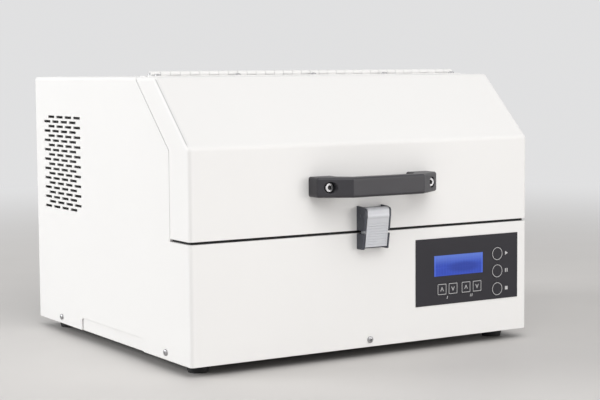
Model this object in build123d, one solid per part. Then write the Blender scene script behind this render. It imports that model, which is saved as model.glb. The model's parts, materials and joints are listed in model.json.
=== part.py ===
from build123d import *
import os
from math import atan2, cos, radians, sin, sqrt, tan

# Bench mixer mill with a hinged hood, in millimetres.
# While it is built, X runs to the right, Y back from the front panel's face,
# and Z up from the cover's lower edge. save() moves each piece to the final
# frame: the origin lies under the middle of the overall box, on the bench.

os.makedirs("parts", exist_ok=True)

# Housing
width = 470.0
depth = 432.0
height = 316.0
sheet = 1.5
foot_height = 12.0
slope_foot_z = 239.0
slope_top_y = 80.0
slope_bend = 8.0
corner_bend = 4.5
slope_angle = atan2(height - slope_foot_z, slope_top_y)
fit_gap = 0.3
seat_gap = 0.1
running_gap = 0.05

# Sheet-metal screws
screw_head_radius = 3.6
screw_head_height = 2.0
screw_shank_radius = 2.0
screw_hole_radius = screw_shank_radius + fit_gap

# Hood and its seam
slot_z = 134.4
slot_gap = 3.2
flange_depth = 46.0
seam_gap = 1.2
return_width = 15.0

# Piano hinge
hinge_y = 130.3
hinge_length = width - 30.0
hinge_pitch = 12.7
hinge_play = 0.4
barrel_radius = 3.1
barrel_lift = 0.3
hinge_pin_radius = 1.5
leaf_width = 16.0
leaf_sheet = 1.2
hinge_screw_y = 9.5
hinge_screw_pitch = (hinge_length - 20.0) / 4
hinge_z = height + barrel_lift + barrel_radius
hinge_split = seam_gap / sin(slope_angle)

# Bridge handle
handle_z = 191.0
handle_span = 166.0
handle_height = 23.0
handle_end = 18.0
handle_reach = 41.0
handle_flat = 98.0
handle_grip = 15.0
handle_foot = 31.0
handle_screw_pitch = 140.0
handle_bevel = 8.0
handle_toe = 14.0
handle_soft = 3.0
handle_bolt = 2.5
handle_bolt_hole = handle_bolt + fit_gap
recess_radius = 6.5
recess_floor = 20.4

# Draw latch
latch_width = 36.0
cheek_sheet = 2.4
latch_top_z = 166.0
latch_bottom_z = 116.0
cheek_reach = 17.8
cheek_nose = 4.4
cheek_drop = 2.4
cheek_part_reach = 15.2
cheek_low_reach = 12.2
web_height = 3.0
lever_pivot_y = -10.2
lever_pivot_z = 155.0
lever_radius = 8.4
lever_front = 8.2
lever_crown = 9.5
lever_nose = 3.0
lever_skin = 1.5
lever_half = latch_width / 2 - cheek_sheet - 0.6
lever_bottom_z = 118.7
lever_tip_y = -12.4
lever_ribs = 9
lever_rib_pitch = 3.0
hook_lift = 4.4
hook_width = 16.0
hook_sheet = 2.2
tooth_z = 121.0
tooth_height = 2.5
tooth_bite = 2.2
lip_gap = 2.2

# Control panel
panel_width = 154.9
panel_right = width / 2 - 14.6
panel_left = panel_right - panel_width
panel_low = 40.5
panel_high = 120.8
overlay_sheet = 0.6
window_left = panel_left + 27.2
window_right = window_left + 73.5
window_low = panel_low + 34.3
window_high = window_low + 25.0
key_side = 13.6
key_row_z = panel_low + 18.4
key_columns = [panel_left + 38.5, panel_left + 55.0, panel_left + 74.7, panel_left + 91.6]
round_key_x = panel_right - 31.9
round_key_rows = [panel_low + 55.7, panel_low + 34.4, panel_low + 12.3]
round_key_radius = 8.3
key_proud = 0.4
key_travel = 0.5
key_depth = 3.0
board_y = 9.0
board_sheet = 1.6

# Vents and lifting notch in the sides
vent_rows = 20
vent_columns = 4
vent_pitch_y = 27.1
vent_pitch_z = 6.07
vent_length = 21.0
vent_height = 3.2
vent_low_z = 149.6
vent_first_y = 299.6
notch_front_y = 118.0
notch_back_y = 295.0
notch_height = 15.5

# Base pan and feet
pan_sheet = 2.0
pan_rim = 30.0
rim_screw_z = 8.4
foot_radius = 14.0
foot_taper = 2.5
foot_recess = 6.5
foot_inset_x = 27.0
foot_inset_y = 35.0

# Chamber liner
liner_sheet = 1.5
liner_back_y = 240.0
liner_half = width / 2 - 16.5
arm_slot_x = 78.0
arm_slot_y = 60.0
lip_half = liner_half - liner_sheet - 2.0
lip_depth = 12.0
foam_half = liner_half - 13.5
foam_sheet = 12.0
foam_back_y = hinge_y - 20.3
magnet_x = 45.0 - width / 2
magnet_length = 20.0
magnet_side = 8.0

# Machine frame, shaft and swinging arm
isolator_height = 10.0
isolator_radius = 14.0
frame_bolt = 3.0
frame_sheet = 8.0
frame_half = 120.0
frame_front_y = 62.0
frame_back_y = 368.0
shaft_y = 125.0
shaft_z = 90.0
shaft_radius = 11.0
shaft_left = -82.0
shaft_right = 122.0
tilt = 12.0
journal_radius = 18.0
journal_half = 26.0
collar_radius = 21.0
upright_x = 62.0
upright_sheet = 15.0
upright_radius = 34.0
bearing_width = 14.0
bearing_radius = 24.0
hub_radius = 33.0
hub_half = 23.0
arm_bearing_radius = 27.0
arm_bearing_width = 12.0
clamp_height = 110.0
saddle_low = 66.0
saddle_high = 76.0
saddle_half = 62.0
saddle_width = 44.0
end_plate = 12.0
vial_radius = 29.0
jaw_radius = 20.0
jaw_sheet = 7.0
jaw_rest_x = 39.0
jaw_travel = 14.0
screw_radius = 8.0
screw_length = 60.0
crossbar_radius = 4.0
crossbar_length = 62.0
tail_radius = 5.0
tail_length = 60.0
tail_sway = 1.1

# Belt drive and motor
driven_radius = 36.0
motor_pulley_radius = 24.0
pulley_flange = 2.0
pulley_width = 16.0
pulley_x = 112.0
belt_width = 12.0
belt_sheet = 2.2
motor_y = 300.0
motor_z = 78.0
motor_radius = 52.0
motor_half = 70.0
motor_bell = 12.0
motor_shaft_radius = 7.0
motor_ribs = 12

# Power board behind the chamber
power_board_x = 10.0
power_board_z = (slot_z + height) / 2 - 10.2
power_board_width = 160.0
power_board_height = 100.0
fin_pitch = 8.0
heatsink_fins = 10

# Rear panel fittings
rear_lip = 12.0
fan_x = 125.0 - width / 2
fan_z = 235.0
fan_side = 92.0
fan_depth = 25.0
fan_radius = 43.0
fan_hub_radius = 18.0
fan_blades = 7
guard_sheet = 1.8
inlet_x = width / 2 - 85.0
inlet_z = 64.0
inlet_half = 14.0
inlet_drop = 19.0
switch_x = inlet_x
switch_z = inlet_z + 34.0
rocker_tilt = 8.0
fitting_proud = 2.0

middle_y = (depth + guard_sheet + screw_head_height - handle_reach) / 2
made = {}


def save(name, *shapes):
    """Move the pieces of one node to the final frame and write its file."""
    solids = [solid for shape in shapes for solid in shape.solids()]
    placed = [Pos(0, -middle_y, foot_height) * solid for solid in solids]
    made[name] = placed[0] if len(placed) == 1 else Compound(placed)
    export_step(made[name], f"parts/{name}.step")


def box(x0, x1, y0, y1, z0, z1):
    """Block between two corners."""
    return Pos((x0 + x1) / 2, (y0 + y1) / 2, (z0 + z1) / 2) * Box(x1 - x0, y1 - y0, z1 - z0)


def rod_x(x0, x1, y, z, radius):
    """Round bar along X."""
    return Pos((x0 + x1) / 2, y, z) * Rot(0, 90, 0) * Cylinder(radius, x1 - x0)


def rod_y(x, y0, y1, z, radius):
    """Round bar along Y."""
    return Pos(x, (y0 + y1) / 2, z) * Rot(90, 0, 0) * Cylinder(radius, y1 - y0)


def rod_z(x, y, z0, z1, radius):
    """Upright round bar."""
    return Pos(x, y, (z0 + z1) / 2) * Cylinder(radius, z1 - z0)


def side_prism(points, x0, x1):
    """Outline of (y, z) points, drawn out along X."""
    face = Plane.YZ.offset(x0) * make_face(Polyline(*points, close=True))
    return extrude(face, x1 - x0, dir=(1, 0, 0))


def plan_prism(points, z0, z1):
    """Outline of (x, y) points, drawn out upwards."""
    face = Plane.XY.offset(z0) * make_face(Polyline(*points, close=True))
    return extrude(face, z1 - z0, dir=(0, 0, 1))


def screw(head_radius, head_height, shank_radius, length, sides=12):
    """Screw seated at the origin with its head up, both parts many-sided prisms."""
    head = extrude(RegularPolygon(head_radius, sides), head_height)
    return head + extrude(RegularPolygon(shank_radius, 6), -length)


facing = {"front": Rot(90, 0, 0), "back": Rot(-90, 0, 0), "left": Rot(0, -90, 0),
          "right": Rot(0, 90, 0), "up": Rot(0, 0, 0), "down": Rot(180, 0, 0)}


def screws_facing(direction, places, **sizes):
    """Copies of one screw at (x, y, z) places, heads towards a direction."""
    return [Pos(*place) * facing[direction] * screw(**sizes) for place in places]


def screw_holes(direction, places, reach, radius=screw_hole_radius):
    """Eight-sided holes, each centred on its place and cut as far to both sides."""
    hole = extrude(RegularPolygon(radius, 8, major_radius=False), reach, both=True)
    return [Pos(*place) * facing[direction] * hole for place in places]


def sheet_screw(length):
    """Small pan-head screw for sheet metal."""
    return {"head_radius": screw_head_radius, "head_height": screw_head_height,
            "shank_radius": screw_shank_radius, "length": length}


def housing_block(inset, overrun):
    """The housing's outer form, or that form inset by a sheet's thickness."""
    low = -overrun
    back = depth + overrun
    slope_low = slope_foot_z + inset * tan(slope_angle) - inset / cos(slope_angle)
    slope_end = (height - inset - slope_foot_z + inset / cos(slope_angle)) / tan(slope_angle)
    points = [(inset, low), (inset, slope_low), (slope_end, height - inset),
              (back, height - inset), (back, low)]
    face = make_face(Polyline(*points, close=True))
    bends = [v for v in face.vertices() if v.Y > low + 1 and v.X < back - 1]
    face = fillet(bends, max(slope_bend - inset, 1.0))
    half = width / 2 - inset
    block = extrude(Plane.YZ.offset(-half) * face, 2 * half, dir=(1, 0, 0))
    rims = [e for e in block.edges() if abs(abs(e.center().X) - half) < 0.01
            and e.center().Z > low + 0.1 and e.center().Y < back - 0.1]
    return fillet(rims, max(corner_bend - inset, 1.0))


def hood_region(seam_y, low_z, top_y, x_half=width):
    """Space in front of the seam: up from low_z, then along the slope to the hinge."""
    beyond = 60.0
    kink_z = height - (top_y - seam_y) * tan(slope_angle)
    points = [(-beyond, low_z), (seam_y, low_z), (seam_y, kink_z), (top_y, height),
              (top_y, height + beyond), (-beyond, height + beyond)]
    return side_prism(points, -x_half, x_half)


def side_strips(inner_half):
    """Space near the two side walls."""
    left = box(-width, -inner_half, -99, depth, -99, 2 * height)
    return left + box(inner_half, width, -99, depth, -99, 2 * height)


outer = housing_block(0, 0)
shell = outer - housing_block(sheet, 20)
hood_top_y = hinge_y - hinge_split / 2
cover_top_y = hinge_y + hinge_split / 2
hood_low_z = slot_z + slot_gap
return_inner = width / 2 - return_width
slant_sheet = sheet / sin(slope_angle)


def returns(region, inner_region):
    """Lips bent inwards along the seam: side strips and a strip behind the front."""
    band = (region - inner_region) & outer
    return (band & side_strips(return_inner)) + (band & box(-width, width, -1, return_width, 0, slot_z + 20))


def hinge_screw_places(side):
    """Screw seats of one hinge leaf: side is -1 for the hood and 1 for the cover."""
    y = hinge_y + side * hinge_screw_y
    return [(i * hinge_screw_pitch, y, height + leaf_sheet) for i in range(-2, 3)]


handle_screw_places = [(side * handle_screw_pitch / 2, -handle_end, handle_z) for side in (-1, 1)]


def make_hood():
    region = hood_region(flange_depth, hood_low_z, hood_top_y)
    inside = hood_region(flange_depth - sheet, hood_low_z + sheet, hood_top_y - slant_sheet)
    hood = (shell & region) + returns(region, inside)
    hood += box(-lip_half, lip_half, hood_top_y - sheet, hood_top_y, height - lip_depth,
                height - sheet / 2)
    hood -= screw_holes("up", hinge_screw_places(-1), 3 * sheet)
    hood -= screw_holes("front", [(x, 0, z) for x, y, z in handle_screw_places], 3 * sheet, handle_bolt_hole)
    save("hood_shell", hood)


square_names = ["minutes_up_key", "minutes_down_key", "seconds_up_key", "seconds_down_key"]
round_names = ["start_key", "pause_key", "stop_key"]
key_places = {name: (x, key_row_z) for name, x in zip(square_names, key_columns)}
round_key_places = {name: (round_key_x, z) for name, z in zip(round_names, round_key_rows)}
side_screw_ys = [60.7, 358.0]
cover_screw_front = [(0, 0, rim_screw_z)]
cover_screw_left = [(-width / 2, y, rim_screw_z) for y in side_screw_ys]
cover_screw_right = [(width / 2, y, rim_screw_z) for y in side_screw_ys]


def key_openings():
    """Centre and half width of each key's square opening in the front sheet."""
    squares = [(x, z, key_side / 2 + fit_gap) for x, z in key_places.values()]
    return squares + [(x, z, round_key_radius + fit_gap) for x, z in round_key_places.values()]


def vent_slots():
    """Staggered rows of slots through the left wall."""
    slot = extrude(Plane.YZ * Rectangle(vent_length, vent_height), 4 * sheet, both=True)
    cuts = []
    for row in range(vent_rows):
        shift = vent_pitch_y / 2 if row % 2 == 0 else 0
        for column in range(vent_columns):
            y = vent_first_y + column * vent_pitch_y + shift
            cuts.append(Pos(-width / 2, y, vent_low_z + row * vent_pitch_z) * slot)
    return cuts


def make_cover():
    region = hood_region(flange_depth + seam_gap, slot_z, cover_top_y)
    grown = hood_region(flange_depth + seam_gap + sheet, slot_z - sheet, cover_top_y + slant_sheet)
    cover = (shell - region) + returns(grown, region)
    cover += box(-lip_half, lip_half, cover_top_y, cover_top_y + sheet, height - lip_depth,
                 height - sheet / 2)
    rim = outer & box(-width, width, depth - 2 * sheet, depth - sheet, pan_rim + 1, height)
    cover += rim - box(rear_lip - width / 2, width / 2 - rear_lip, 0, depth, 0, height - rear_lip)
    cover -= vent_slots()
    low = notch_height - 3
    cover -= side_prism([(notch_front_y, -1), (notch_front_y, low), (notch_front_y + 3, notch_height),
                         (notch_back_y - 3, notch_height), (notch_back_y, low), (notch_back_y, -1)],
                        -width, width)
    cover -= screw_holes("up", hinge_screw_places(1), 3 * sheet)
    cover -= screw_holes("front", cover_screw_front, 3 * sheet)
    cover -= screw_holes("left", cover_screw_left + cover_screw_right, 3 * sheet)
    cover -= [box(x - half, x + half, -1, 5, z - half, z + half) for x, z, half in key_openings()]
    cover -= box(window_left, window_right, -1, 5, window_low, window_high)
    cover -= screw_holes("back", [place for place in rear_screw_places if place[2] > pan_rim], 3 * sheet)
    save("outer_cover", cover)


rear_x = width / 2 - rear_lip / 2 - sheet
rear_screw_places = [(side * rear_x, depth, z) for side in (-1, 1) for z in (60.0, 280.0)]
rear_screw_places += [(x, depth, rim_screw_z) for x in (-150.0, 150.0)]
rear_screw_places += [(x, depth, height - rear_lip / 2 - sheet) for x in (-90.0, 90.0)]
fan_screw_pitch = 82.5
fan_screw_places = [(fan_x + i * fan_screw_pitch / 2, depth + guard_sheet, fan_z + j * fan_screw_pitch / 2)
                    for i in (-1, 1) for j in (-1, 1)]


def make_rear_panel():
    half = width / 2 - sheet - fit_gap
    top = height - sheet - fit_gap
    plate = box(-half, half, depth - sheet, depth, fit_gap, top)
    plate = fillet([e for e in plate.edges().filter_by(Axis.Y) if e.center().Z > top - 1], corner_bend)
    plate -= rod_y(fan_x, depth - 9, depth + 1, fan_z, fan_radius)
    hole_half = inlet_half + fit_gap
    plate -= box(inlet_x - hole_half, inlet_x + hole_half, depth - 9, depth + 1,
                 inlet_z - inlet_drop - fit_gap, switch_z + inlet_half + fit_gap)
    plate -= screw_holes("back", rear_screw_places + fan_screw_places, 4 * sheet)
    save("rear_panel", plate)


foot_places = [(side * (width / 2 - foot_inset_x), y) for side in (-1, 1)
               for y in (foot_inset_y, depth - foot_inset_y)]
isolator_places = [(side * (frame_half - 22), y) for side in (-1, 1)
                   for y in (frame_front_y + 22, frame_back_y - 22)]


def make_base():
    half = width / 2 - sheet - fit_gap
    front = sheet + fit_gap
    back = depth - sheet
    pan = box(-half, half, front, back, 0, pan_rim)
    pan = fillet([e for e in pan.edges().filter_by(Axis.Z) if e.center().Y < 9], corner_bend)
    inside = box(pan_sheet - half, half - pan_sheet, front + pan_sheet, back - pan_sheet, pan_sheet,
                 pan_rim + 1)
    corners = [e for e in inside.edges().filter_by(Axis.Z) if e.center().Y < 9]
    inside = fillet(corners, corner_bend - pan_sheet)
    pan -= inside
    pan -= screw_holes("up", [(x, y, 0) for x, y in foot_places], 2 * pan_sheet)
    pan -= screw_holes("front", cover_screw_front, 6 * sheet)
    pan -= screw_holes("left", cover_screw_left + cover_screw_right, 6 * sheet)
    pan -= screw_holes("back", [place for place in rear_screw_places if place[2] < pan_rim], 6 * sheet)
    save("base_pan", pan)
    screws = screws_facing("front", cover_screw_front, **sheet_screw(8))
    screws += screws_facing("left", cover_screw_left, **sheet_screw(8))
    screws += screws_facing("right", cover_screw_right, **sheet_screw(8))
    screws += screws_facing("back", rear_screw_places, **sheet_screw(8))
    screws += screws_facing("back", fan_screw_places, **sheet_screw(24))
    save("panel_screws", *screws)
    seat_z = -foot_height / 2
    foot = Pos(0, 0, seat_z) * Cone(foot_radius - foot_taper, foot_radius, foot_height)
    foot -= extrude(Plane.XY.offset(seat_z) * RegularPolygon(foot_recess, 8, major_radius=False), seat_z)
    foot -= screw_holes("up", [(0, 0, 0)], foot_height)[0]
    save("feet", *[Pos(x, y, 0) * foot for x, y in foot_places])
    save("foot_screws", *screws_facing("down", [(x, y, seat_z) for x, y in foot_places], head_radius=4.5,
                                       head_height=2.4, shank_radius=screw_shank_radius,
                                       length=pan_sheet + 5 - seat_z, sides=6))


def make_hinge():
    """Two leaves with alternate rolled knuckles, the pin through them and the screws."""
    count = int(hinge_length / hinge_pitch)
    start = -count * hinge_pitch / 2
    for side, owner in ((-1, "hood"), (1, "cover")):
        tab = barrel_radius + fit_gap
        near, far = sorted((hinge_y + side * tab, hinge_y + side * leaf_width))
        leaf = box(-hinge_length / 2, hinge_length / 2, near, far, height, height + leaf_sheet)
        outline = Pos(side * tab / 2, height - hinge_z + leaf_sheet / 2) * Rectangle(tab, leaf_sheet)
        outline += RegularPolygon(barrel_radius, 16)
        outline -= RegularPolygon(hinge_pin_radius + running_gap, 8, major_radius=False)
        knuckle = extrude(Plane.YZ * outline, hinge_pitch - hinge_play, dir=(1, 0, 0))
        for i in range(0 if side > 0 else 1, count, 2):
            leaf += Pos(start + i * hinge_pitch + hinge_play / 2, hinge_y, hinge_z) * knuckle
        leaf -= screw_holes("up", hinge_screw_places(side), 3 * leaf_sheet)
        save("hinge_leaf_" + owner, leaf)
        save("hinge_screws_" + owner, *screws_facing("up", hinge_screw_places(side), **sheet_screw(7)))
    save("hinge_pin", rod_x(start, -start, hinge_y, hinge_z, hinge_pin_radius))


def make_gasket():
    z0 = slot_z
    z1 = hood_low_z - 2 * fit_gap
    edge = width / 2 - 3.0
    strip = box(-edge, edge, 3.0, flange_depth, z0, z1)
    strip = fillet([e for e in strip.edges().filter_by(Axis.Z) if e.center().Y < 9], 3.0)
    save("slot_gasket", strip - box(10 - edge, edge - 10, 13.0, flange_depth + 1, z0 - 1, z1 + 1))


def make_liner():
    """Open-topped tray behind the slot: deck, side walls and rear wall of one bent sheet."""
    deck_top = slot_z - sheet
    tray = box(-liner_half, liner_half, sheet + fit_gap, liner_back_y + liner_sheet, deck_top - liner_sheet,
               height - sheet - fit_gap)
    tray -= box(liner_sheet - liner_half, liner_half - liner_sheet, -9, liner_back_y, deck_top, height)
    keep_off = 2.0
    tray -= hood_region(flange_depth + seam_gap + sheet + keep_off, deck_top,
                        cover_top_y + slant_sheet + keep_off)
    slot = extrude(Plane.XY.offset(deck_top - 5) * RectangleRounded(arm_slot_x, arm_slot_y, 10), 10)
    save("chamber_liner", tray - Pos(0, shaft_y, 0) * slot)


def make_hood_foam():
    foam = housing_block(sheet + fit_gap, 20) - housing_block(sheet + fit_gap + foam_sheet, 30)
    save("hood_foam", foam & box(-foam_half, foam_half, 0, foam_back_y, handle_z + 14, height))


def make_interlock():
    deck_low = slot_z - sheet - liner_sheet
    floor = hood_low_z + sheet
    end = magnet_x + magnet_length
    save("hood_magnet", box(magnet_x, end, 4, 4 + magnet_side, floor, floor + magnet_side))
    save("hood_sensor", box(magnet_x - 4, end + 4, 3, 5 + magnet_side, deck_low - 14, deck_low))


def make_handle():
    half = handle_span / 2
    flat = handle_flat / 2
    inner = half - handle_foot
    under = flat - handle_bevel
    plan = [(-half, 0), (-half, -handle_end), (-flat, -handle_reach), (flat, -handle_reach),
            (half, -handle_end), (half, 0), (inner, 0), (inner, -handle_toe),
            (under, handle_grip - handle_reach), (-under, handle_grip - handle_reach),
            (-inner, -handle_toe), (-inner, 0)]
    handle = plan_prism(plan, handle_z - handle_height / 2, handle_z + handle_height / 2)
    rims = [e for e in handle.edges() if e.center().Y < -1
            and abs(e.center().Z - handle_z) > handle_height / 2 - 0.1]
    ends = [e for e in handle.edges().filter_by(Axis.Z) if abs(e.center().Y + handle_end) < 0.1]
    soft = rims + ends
    handle = fillet(soft, handle_soft)
    for x, y, z in handle_screw_places:
        handle -= rod_y(x, -handle_reach, -recess_floor, z, recess_radius)
    seats = [(x, -recess_floor, z) for x, y, z in handle_screw_places]
    handle -= screw_holes("front", seats, handle_reach, handle_bolt_hole)
    save("bridge_handle", handle)
    save("handle_screws", *screws_facing("front", seats, head_radius=2 * handle_bolt, head_height=3.0,
                                         shank_radius=handle_bolt, length=recess_floor + sheet + 5))


def lever_outline(inset):
    """Side view of the latch lever: a squared head about its pin and a tapering tongue."""
    front = lever_pivot_y - lever_front + inset
    top = lever_pivot_z + lever_crown - inset
    tip = lever_tip_y - 0.6 + inset
    back = lever_pivot_y + 5.6
    half = lever_half - inset
    radius = lever_radius - inset
    slant = radians(25)
    shoulder = (lever_pivot_y + radius * sin(slant), lever_pivot_z + radius * cos(slant))
    tongue = side_prism([(front, top - lever_nose), (front + 0.3 * lever_nose, top - 0.3 * lever_nose),
                         (front + lever_nose, top), (lever_pivot_y, top), shoulder, (back, lever_pivot_z),
                         (back, lever_bottom_z + 16), (lever_tip_y + 2.4, lever_bottom_z), (tip, lever_bottom_z),
                         (front, lever_pivot_z)], -half, half)
    return tongue + rod_x(-half, half, lever_pivot_y, lever_pivot_z, radius)


def make_latch():
    half = latch_width / 2
    inner = half - cheek_sheet
    pin = rod_x(-half, half, lever_pivot_y, lever_pivot_z, 1.5)
    cheek_low = hood_low_z + 0.3
    cheeks = []
    keeper = []
    for side in (-1, 1):
        x0, x1 = sorted((side * inner, side * half))
        cheeks.append(side_prism([(0, cheek_low), (-cheek_part_reach, cheek_low), (-cheek_reach, lever_pivot_z),
                                  (-cheek_reach, latch_top_z - cheek_nose),
                                  (-0.91 * cheek_reach, latch_top_z - cheek_drop),
                                  (-0.62 * cheek_reach, latch_top_z - cheek_drop / 3), (0, latch_top_z)], x0, x1))
        foot0, foot1 = sorted((side * (half - 9), side * half))
        cheeks.append(box(foot0, foot1, -1.5, 0, cheek_low, latch_top_z - 2))
        keeper.append(side_prism([(0, latch_bottom_z), (-cheek_low_reach, latch_bottom_z),
                                  (-cheek_part_reach, slot_z - 0.3), (0, slot_z - 0.3)], x0, x1))
    housing = cheeks[0] + cheeks[1:] + box(-half, half, -1.5, 0, latch_top_z - 2 - web_height, latch_top_z - 2)
    housing -= rod_x(-half - 1, half + 1, lever_pivot_y, lever_pivot_z, 1.5 + seat_gap)
    save("latch_housing", housing)
    save("lever_pin", pin)
    arm_back = lever_pivot_y + 5.2
    hook_pin_z = lever_pivot_z + hook_lift
    lip_low = tooth_z + tooth_height + lip_gap
    lip_front = arm_back + fit_gap
    plate = box(-half, half, -1.5, 0, latch_bottom_z, slot_z - 0.3)
    lip = box(-12, 12, lip_front, 0, lip_low, lip_low + 3.2)
    save("latch_keeper", plate + keeper + lip)
    lever = lever_outline(0)
    hollow = lever_outline(lever_skin)
    open_half = lever_half - 2.0
    crown_low = lever_pivot_z + lever_crown - lever_skin
    open_back = box(-open_half, open_half, lever_pivot_y - 0.5, 5, lever_bottom_z + 4, crown_low)
    open_top = box(-open_half, open_half, lever_pivot_y + 1.2, 5, crown_low - 1, crown_low + lever_skin + 1)
    lever = lever - hollow - open_back - open_top
    slope_run = (lever_tip_y - 0.6 - lever_pivot_y + lever_front) / (lever_pivot_z - lever_bottom_z)
    for i in range(lever_ribs):
        z = lever_bottom_z + 2.6 + i * lever_rib_pitch
        y = lever_tip_y - 0.6 - slope_run * (z - lever_bottom_z)
        lever -= box(-open_half, open_half, y - 1, y + 0.6, z - 0.5, z + 0.5)
    lever -= rod_x(-half, half, lever_pivot_y, lever_pivot_z, 1.5 + running_gap)
    lever -= rod_x(-half, half, lever_pivot_y, hook_pin_z, 1.2 + seat_gap)
    save("latch_lever", lever)
    save("hook_pin", rod_x(-lever_half, lever_half, lever_pivot_y, hook_pin_z, 1.2))
    arm_front = arm_back - hook_sheet
    hook_half = hook_width / 2
    hook = box(-hook_half, hook_half, arm_front, arm_back, tooth_z, hook_pin_z + 1.0)
    hook += box(-hook_half, hook_half, lever_pivot_y, arm_back, hook_pin_z - 1.4, hook_pin_z + 1.0)
    hook += rod_x(-hook_half, hook_half, lever_pivot_y, hook_pin_z, 2.2)
    hook += box(-hook_half, hook_half, arm_back, arm_back + fit_gap + tooth_bite, tooth_z,
                tooth_z + tooth_height)
    save("latch_hook", hook - rod_x(-half, half, lever_pivot_y, hook_pin_z, 1.2 + running_gap))


def make_control_panel():
    overlay = box(panel_left, panel_right, -overlay_sheet, 0, panel_low, panel_high)
    half = key_side / 2 + fit_gap
    overlay -= [box(x - half, x + half, -2, 1, z - half, z + half) for x, z in key_places.values()]
    overlay -= [rod_y(x, -2, 1, z, round_key_radius + fit_gap) for x, z in round_key_places.values()]
    overlay -= box(window_left, window_right, -2, 1, window_low, window_high)
    save("control_overlay", overlay)
    save("display_window", box(window_left + seat_gap, window_right - seat_gap, -overlay_sheet, sheet,
                               window_low + seat_gap, window_high - seat_gap))
    save("display_module", box(window_left - 5, window_right + 5, sheet + seat_gap, board_y, window_low - 4,
                               window_high + 5))
    face = -overlay_sheet - key_proud
    rest = sheet + fit_gap
    for name, (x, z) in key_places.items():
        half = key_side / 2
        cap = box(x - half, x + half, face, key_depth, z - half, z + half)
        cap = chamfer(cap.edges().group_by(Axis.Y)[0], 0.3)
        rim = half + 1.2
        save(name, cap + box(x - rim, x + rim, rest, rest + 0.8, z - rim, z + rim))
    for name, (x, z) in round_key_places.items():
        cap = rod_y(x, face, key_depth, z, round_key_radius)
        cap = chamfer(cap.edges().group_by(Axis.Y)[0], 0.3)
        rim = round_key_radius + 1.2
        save(name, cap + box(x - rim, x + rim, rest, rest + 0.8, z - rim, z + rim))
    board = box(panel_left + 2, panel_right - 2, board_y, board_y + board_sheet, panel_low + 2,
                panel_high - 2)
    switch_low = key_depth + key_travel + fit_gap
    for x, z in list(key_places.values()) + list(round_key_places.values()):
        board += box(x - 3, x + 3, switch_low, board_y, z - 3, z + 3)
    back = board_y + board_sheet
    board += box(window_left + 7.3, window_left + 37.3, back, board_y + 9, window_high - 3.8,
                 window_high + 4.2)
    board += box(window_right - 16.2, window_right + 3.8, back, board_y + 6, key_row_z + 1.1,
                 key_row_z + 21.1)
    save("control_board", board)


def make_frame():
    low = pan_sheet + isolator_height
    top = low + frame_sheet
    frame = box(-frame_half, frame_half, frame_front_y, frame_back_y, low, top)
    frame = fillet(frame.edges().filter_by(Axis.Z), 10)
    ring = Circle(upright_radius).edges()
    foot = Line((-48, top - shaft_z), (48, top - shaft_z))
    outline = make_hull([*ring, *foot.edges()])
    for side in (-1, 1):
        x0 = side * upright_x - upright_sheet / 2
        upright = extrude(Plane.YZ * outline, upright_sheet, dir=(1, 0, 0))
        frame += Pos(x0, shaft_y, shaft_z) * upright
        frame -= rod_x(x0 - 1, x0 + upright_sheet + 1, shaft_y, shaft_z, bearing_radius)
        rib_x0, rib_x1 = sorted((side * (upright_x + upright_sheet / 2), side * (upright_x + 32)))
        rib = box(rib_x0, rib_x1, shaft_y - 5, shaft_y + 5, top, top + 26)
        outer_edge = [e for e in rib.edges().filter_by(Axis.Y) if e.center().Z > top + 25
                      and abs(e.center().X) > upright_x + 31]
        frame += chamfer(outer_edge, 20)
    foot = top - motor_z
    cradle = side_prism([(-48, foot - 1), (48, foot - 1), (48, foot + 8), (40, -20), (-40, -20),
                         (-48, foot + 8)], -9, 9)
    cradle -= rod_x(-99, 99, 0, 0, motor_radius + seat_gap)
    frame += [Pos(side * (motor_half - 14), motor_y, motor_z) * cradle for side in (-1, 1)]
    bolt_seats = [(x, y, top) for x, y in isolator_places]
    frame -= screw_holes("up", bolt_seats, 2 * frame_sheet, frame_bolt + fit_gap)
    save("machine_frame", frame)
    isolator = Cylinder(isolator_radius, isolator_height)
    isolator -= screw_holes("up", [(0, 0, 0)], isolator_height, frame_bolt + fit_gap)[0]
    save("isolators", *[Pos(x, y, pan_sheet + isolator_height / 2) * isolator for x, y in isolator_places])
    save("frame_bolts", *screws_facing("up", bolt_seats, head_radius=2 * frame_bolt, head_height=4.0,
                                       shank_radius=frame_bolt, length=frame_sheet + isolator_height - 1,
                                       sides=6))
    ring = Cylinder(bearing_radius - seat_gap, bearing_width)
    bearing = Rot(0, 90, 0) * (ring - Cylinder(shaft_radius + running_gap, bearing_width))
    save("shaft_bearings", *[Pos(side * upright_x, shaft_y, shaft_z) * bearing for side in (-1, 1)])
    gap = tail_radius + tail_sway
    guide = box(-26, 26, shaft_y - gap - 7, shaft_y + gap + 7, top, top + 26)
    guide -= box(-27, 27, shaft_y - gap, shaft_y + gap, top + 5, top + 27)
    save("tail_guide", guide)


journal = Pos(0, shaft_y, shaft_z) * Rot(0, 0, tilt)


def bar(x0, x1, radius, z=0.0):
    """Round bar along the tilted journal's axis, in the arm's own frame."""
    return rod_x(x0, x1, 0, z, radius)


def make_shaft():
    crank = bar(-journal_half, journal_half, journal_radius)
    inner = hub_half + fit_gap
    crank += bar(inner, journal_half, collar_radius) + bar(-journal_half, -inner, collar_radius)
    shaft = journal * crank + rod_x(shaft_left, shaft_right, shaft_y, shaft_z, shaft_radius)
    save("main_shaft", shaft)


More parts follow.
